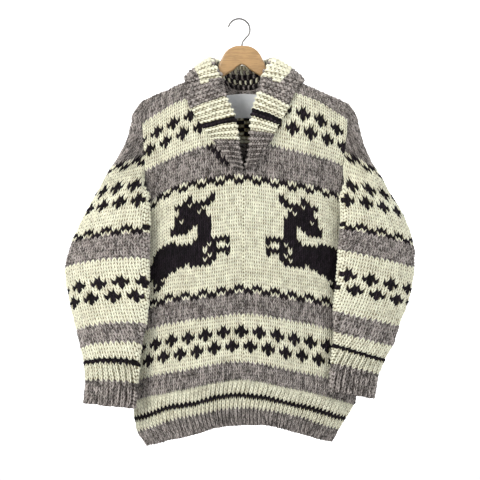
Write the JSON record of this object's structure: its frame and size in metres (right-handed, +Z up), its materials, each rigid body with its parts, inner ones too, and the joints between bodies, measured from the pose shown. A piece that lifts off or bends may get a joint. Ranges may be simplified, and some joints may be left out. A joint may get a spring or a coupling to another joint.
{
  "type": "cowichan sweater on a wooden hanger",
  "caption": "Bulky hand-knitted shawl-collar pullover in cream, grey and dark bands with deer and diamond motifs, hanging on a wooden hanger with a steel hook.",
  "frame": {"origin": "inside top of the hanger's hook, where it rests on a rail", "axes": "+Z up, +Y towards the garment's back, +X towards the right of the front view"},
  "size_m": [0.7059, 0.1279, 0.8686],
  "materials": {
    "cream_wool": "matt bulky wool, stocking stitch",
    "grey_wool": "matt heathered wool, ribbed and garter stitch",
    "label_cloth": "smooth woven cloth",
    "varnished_wood": "clear satin varnish",
    "hook_steel": "bright wire"
  },
  "bodies": {
    "root": {"front": "cream_wool", "back": "cream_wool", "hem_front": "grey_wool", "hem_back": "grey_wool", "sleeve_left": "cream_wool", "sleeve_right": "cream_wool", "cuff_left": "grey_wool", "cuff_right": "grey_wool", "lapel_left": "grey_wool", "lapel_right": "grey_wool", "collar_back": "cream_wool", "neck_label": "label_cloth", "hanger_wood": "varnished_wood", "hanger_hook": "hook_steel"}
  },
  "joints": []
}
